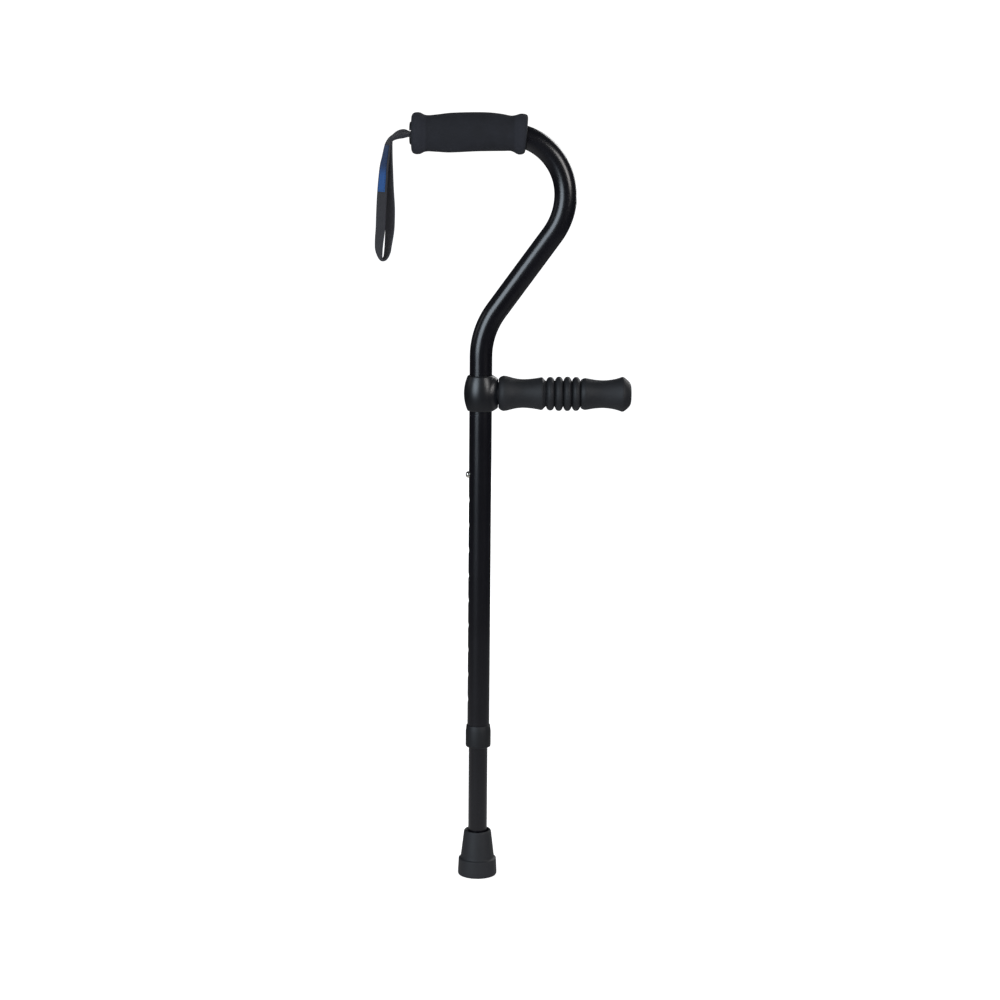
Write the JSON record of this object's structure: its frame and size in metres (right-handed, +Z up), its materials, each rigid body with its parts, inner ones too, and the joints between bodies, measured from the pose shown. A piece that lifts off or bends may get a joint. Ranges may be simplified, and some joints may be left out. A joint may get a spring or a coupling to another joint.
{
  "type": "walking cane",
  "caption": "Offset-handle aluminium walking cane with a foam grip, a wrist strap, a telescoping lower shaft and a clamp-on side handle.",
  "frame": {"origin": "centre of the flat sole of the rubber tip", "axes": "+Z up along the straight shaft's axis, +X towards the outer side of the handle's bend and along the side handle, +Y across the cane"},
  "size_m": [0.2532, 0.0404, 0.765],
  "materials": {
    "shaft_paint": "satin black powder coat on aluminium",
    "foam": "matte closed-cell foam",
    "moulded_plastic": "fine satin moulding",
    "glossy_plastic": "polished moulding",
    "rubber": "matte moulded rubber",
    "webbing": "woven nylon",
    "label_cloth": "woven satin label",
    "spring_steel": "bright plated",
    "zinc_steel": "zinc plated",
    "brass": "machined",
    "pale_nylon": "natural nylon"
  },
  "bodies": {
    "lower": {"lower_shaft": "shaft_paint", "rubber_tip": "rubber", "tip_washer": "zinc_steel", "glide_bushing": "pale_nylon", "snap_spring": "spring_steel"},
    "button": {"snap_button": "spring_steel"},
    "upper": {"upper_shaft": "shaft_paint", "handle_grip": "foam", "handle_plug": "moulded_plastic", "strap_pin": "zinc_steel", "strap_neck": "webbing"},
    "collet": {"split_collet": "pale_nylon"},
    "ring": {"lock_ring": "moulded_plastic"},
    "strap": {"wrist_strap": "webbing", "strap_label": "label_cloth"},
    "sleeve": {"assist_liner": "moulded_plastic"},
    "collar": {"assist_collar": "glossy_plastic", "clamp_insert": "brass"},
    "shoe": {"pressure_shoe": "moulded_plastic"},
    "side_handle": {"assist_rod": "zinc_steel", "assist_core": "moulded_plastic", "assist_washer": "zinc_steel", "assist_nut": "zinc_steel", "assist_grip": "rubber"}
  },
  "joints": [
    {"name": "height_slide", "type": "slide", "parent": "lower", "child": "upper", "axis": [0, 0, 1], "range_m": [0, 0.2286], "deforming": ["snap_button"]},
    {"name": "button_press", "type": "slide", "parent": "lower", "child": "button", "axis": [1, 0, 0], "range_m": [0, 0.005], "stiffness_N_per_m": 900, "springref_m": -0.002, "deforming": ["snap_spring"]},
    {"name": "collet_release", "type": "slide", "parent": "upper", "child": "collet", "axis": [0, 0, -1], "range_m": [0, 0.0015]},
    {"name": "lock_ring_turn", "type": "hinge", "parent": "collet", "child": "ring", "pos_m": [0, 0, 0.1453], "axis": [0, 0, -1], "range_deg": [0, 360]},
    {"name": "strap_swing", "type": "hinge", "parent": "upper", "child": "strap", "pos_m": [-0.087, 0, 0.7385], "axis": [0, 1, 0], "range_deg": [-35, 90]},
    {"name": "assist_slide", "type": "slide", "parent": "upper", "child": "sleeve", "axis": [0, 0, 1], "range_m": [-0.054, 0.01]},
    {"name": "assist_swivel", "type": "hinge", "parent": "sleeve", "child": "collar", "pos_m": [0, 0, 0.4925], "axis": [0, 0, 1], "continuous": true},
    {"name": "shoe_travel", "type": "slide", "parent": "collar", "child": "shoe", "axis": [1, 0, 0], "range_m": [0, 0.0025]},
    {"name": "side_handle_twist", "type": "hinge", "parent": "shoe", "child": "side_handle", "pos_m": [0.08, 0, 0.4925], "axis": [1, 0, 0], "range_deg": [0, 720]}
  ],
  "couplings": [
    {"joint": "collet_release", "follows": "lock_ring_turn", "m_per_rad": 0.00023873},
    {"joint": "shoe_travel", "follows": "side_handle_twist", "m_per_rad": 0.00019894}
  ]
}
